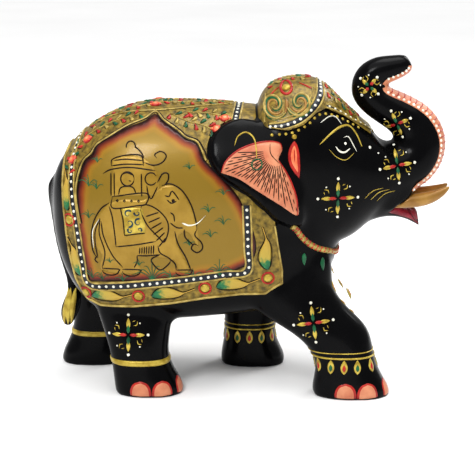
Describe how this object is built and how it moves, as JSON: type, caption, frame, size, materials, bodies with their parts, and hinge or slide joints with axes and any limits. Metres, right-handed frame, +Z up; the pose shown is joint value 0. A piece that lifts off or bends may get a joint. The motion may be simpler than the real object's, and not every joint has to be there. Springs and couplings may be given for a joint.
{
  "type": "carved wooden elephant",
  "caption": "Standing carved wooden elephant figurine with raised trunk, separate tusks, and a raised and painted saddle cloth, cap and leg ornaments.",
  "frame": {"origin": "on the surface that the feet stand on, under the middle of the figure's bounding box", "axes": "+X forward, from tail to trunk; +Z up; the elephant's right flank faces -Y"},
  "size_m": [0.1992, 0.0818, 0.1635],
  "materials": {
    "black_lacquer": "gloss lacquer over carved wood",
    "gilt_wood": "satin gold paint over wood",
    "gilt_ground": "gold paint on chalk paste, varnished",
    "gilt_paste": "gold and cream paint on raised paste",
    "white_enamel": "gloss enamel drops",
    "red_enamel": "gloss enamel on paste",
    "green_enamel": "gloss enamel on paste"
  },
  "bodies": {
    "root": {"carved_body": "black_lacquer", "tusk_right": "gilt_wood", "tusk_left": "gilt_wood", "saddle_cloth": "gilt_ground", "head_cap": "gilt_ground", "hem_cord": "gilt_paste", "band_cord_outer": "gilt_paste", "band_cord_inner": "gilt_paste", "neck_band_cords": "gilt_paste", "arch_cord_right": "gilt_paste", "arch_cord_left": "gilt_paste", "spine_cord_right": "gilt_paste", "spine_cord_left": "gilt_paste", "cloth_band_dots": "white_enamel", "cloth_medallions": "red_enamel", "cloth_leaves": "green_enamel", "cloth_flowers": "red_enamel", "cloth_scrolls": "gilt_paste", "spine_rosette": "green_enamel", "cap_band_cords": "gilt_paste", "cap_drape_cords": "gilt_paste", "cap_band_dots": "white_enamel", "cap_scrolls": "gilt_paste", "cap_bosses": "red_enamel", "cap_fringe_dots": "gilt_paste", "cheek_drops": "red_enamel", "cheek_motifs": "green_enamel", "ear_scrolls": "gilt_paste", "trunk_dots": "white_enamel", "trunk_motifs": "green_enamel", "bangle_right_hind": "gilt_paste", "bangle_left_hind": "gilt_paste", "anklet_right_front": "gilt_paste", "anklet_left_front": "gilt_paste", "anklet_drops_right": "green_enamel", "anklet_drops_left": "green_enamel", "leg_motifs": "green_enamel", "collar": "red_enamel", "collar_pendants": "green_enamel"}
  },
  "joints": []
}
